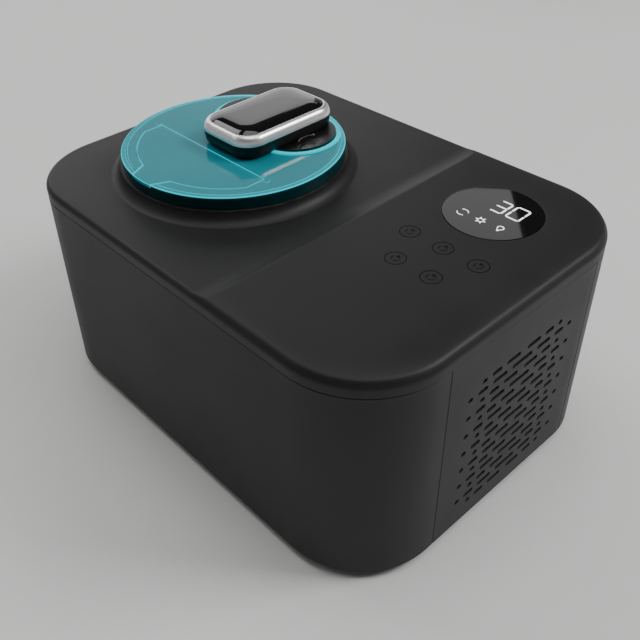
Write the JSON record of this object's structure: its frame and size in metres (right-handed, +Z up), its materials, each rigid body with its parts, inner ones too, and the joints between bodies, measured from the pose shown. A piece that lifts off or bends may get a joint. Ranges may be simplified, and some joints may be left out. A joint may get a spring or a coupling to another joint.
{
  "type": "compressor ice cream maker",
  "caption": "Countertop ice cream maker: rounded charcoal box with a side vent panel, round display, clear blue lid with a filling flap, a motor block and a lift-out bowl.",
  "frame": {"origin": "on the table, in the middle of the body's footprint", "axes": "+X to the right end with the vents, -Y to the front, +Z up"},
  "size_m": [0.4, 0.292, 0.2295],
  "materials": {
    "case_plastic": "matte dark charcoal",
    "black_plastic": "matte black",
    "gloss_black": "high gloss",
    "window_gloss": "high gloss",
    "rubber": "matte",
    "clear_blue": "clear blue plastic, glossy",
    "bezel_metal": "fine brushed",
    "sheet_aluminium": "satin",
    "bowl_aluminium": "satin",
    "steel": "bright",
    "copper": "drawn tube",
    "board": "printed board",
    "contact_brass": "plated",
    "foam": "foamed",
    "compressor_paint": "satin black",
    "white_plastic": "natural white"
  },
  "bodies": {
    "body": {"feet": "rubber", "base_tray": "black_plastic", "body_screws": "steel", "body_shell": "case_plastic", "vent_panel": "case_plastic", "cord_gland": "rubber", "top_cover": "case_plastic", "display_window": "window_gloss", "display_board": "board", "touch_board": "board", "power_board": "board", "power_contacts": "contact_brass", "cooling_well": "sheet_aluminium", "well_seal": "rubber", "evaporator_coil": "copper", "foam_jacket": "foam", "compressor": "compressor_paint", "compressor_grommets": "rubber", "compressor_bolts": "steel", "condenser_fins": "sheet_aluminium", "condenser_tube": "copper", "fan_shroud": "black_plastic", "fan_frame": "black_plastic", "fan_screws": "steel", "discharge_line": "copper", "liquid_line": "copper", "filter_drier": "copper", "capillary_tube": "copper", "suction_line": "copper"},
    "fan": {"fan_rotor": "black_plastic"},
    "bowl": {"bowl": "bowl_aluminium"},
    "handle": {"bowl_handle": "steel"},
    "paddle": {"paddle": "white_plastic"},
    "lid": {"lid": "clear_blue", "lid_contacts": "contact_brass"},
    "flap": {"flap": "clear_blue", "flap_pins": "steel"},
    "drive_unit": {"lock_plate": "black_plastic", "motor_housing": "black_plastic", "motor_bezel": "bezel_metal", "motor_cover": "gloss_black", "drive_motor": "steel", "motor_screws": "steel", "gear_pin": "steel"},
    "motor_shaft": {"motor_pinion": "contact_brass"},
    "idler": {"idler_gear": "white_plastic"},
    "drive": {"drive_gear": "white_plastic"}
  },
  "joints": [
    {"name": "lid_lift", "type": "slide", "parent": "body", "child": "lid", "axis": [0, 0, 1], "range_m": [0, 0.3]},
    {"name": "bowl_lift", "type": "slide", "parent": "body", "child": "bowl", "axis": [0, 0, 1], "range_m": [0, 0.15]},
    {"name": "handle_swing", "type": "hinge", "parent": "bowl", "child": "handle", "pos_m": [-0.078, -0.01, 0.1975], "axis": [1, 0, 0], "range_deg": [0, 88]},
    {"name": "paddle_spin", "type": "hinge", "parent": "bowl", "child": "paddle", "pos_m": [-0.078, -0.01, 0.12], "axis": [0, 0, 1], "continuous": true},
    {"name": "flap_open", "type": "hinge", "parent": "lid", "child": "flap", "pos_m": [-0.078, -0.0355, 0.2048], "axis": [-1, 0, 0], "range_deg": [0, 88]},
    {"name": "drive_unit_lift", "type": "slide", "parent": "lid", "child": "drive_unit", "axis": [0, 0, 1], "range_m": [0, 0.06]},
    {"name": "drive_spin", "type": "hinge", "parent": "drive_unit", "child": "drive", "pos_m": [-0.078, -0.01, 0.21], "axis": [0, 0, 1], "continuous": true},
    {"name": "idler_spin", "type": "hinge", "parent": "drive_unit", "child": "idler", "pos_m": [-0.067, 0.01133, 0.21], "axis": [0, 0, 1], "continuous": true},
    {"name": "motor_spin", "type": "hinge", "parent": "drive_unit", "child": "motor_shaft", "pos_m": [-0.067, 0.03633, 0.21], "axis": [0, 0, 1], "continuous": true},
    {"name": "fan_spin", "type": "hinge", "parent": "body", "child": "fan", "pos_m": [0.15, 0.008, 0.086], "axis": [1, 0, 0], "continuous": true}
  ],
  "couplings": [
    {"joint": "bowl_lift", "follows": "lid_lift", "ratio": 0.5},
    {"joint": "handle_swing", "follows": "lid_lift", "rad_per_m": 5},
    {"joint": "drive_spin", "follows": "paddle_spin", "ratio": 1},
    {"joint": "idler_spin", "follows": "paddle_spin", "ratio": -2},
    {"joint": "motor_spin", "follows": "paddle_spin", "ratio": 6.3333}
  ]
}
